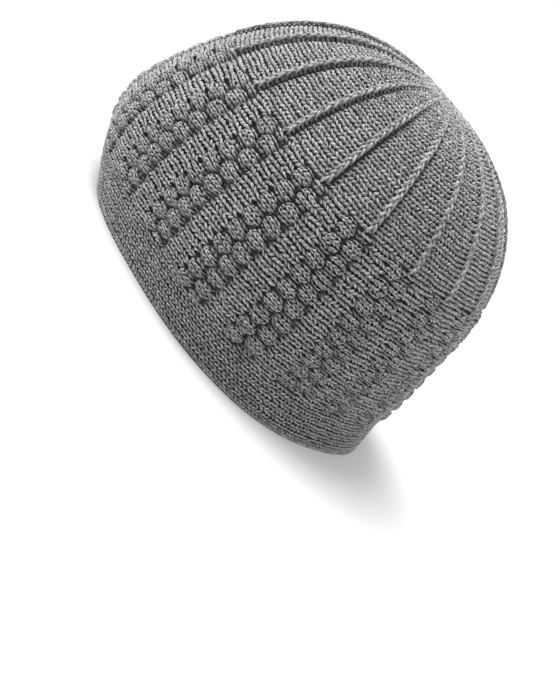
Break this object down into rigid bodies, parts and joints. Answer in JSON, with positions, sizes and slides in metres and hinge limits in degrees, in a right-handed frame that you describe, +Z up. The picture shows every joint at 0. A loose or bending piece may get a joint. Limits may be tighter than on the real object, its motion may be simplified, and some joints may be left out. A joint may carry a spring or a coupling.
{
  "type": "knit cap",
  "caption": "Hollow knitted head cap with a plain rolled brim, stripes of raised bobble stitches round the side and a crown of wedges parted by radial ridges.",
  "frame": {"origin": "middle of the cap's footprint, level with the brim's edge", "axes": "+Z up to the crown, the wearer's face looks along -Y, the wearer's left is +X"},
  "size_m": [0.1712, 0.1924, 0.1363],
  "materials": {
    "grey_wool": "matte heather knit, plied wool yarn with a faint fuzz"
  },
  "bodies": {
    "root": {"knit_cap": "grey_wool"}
  },
  "joints": []
}
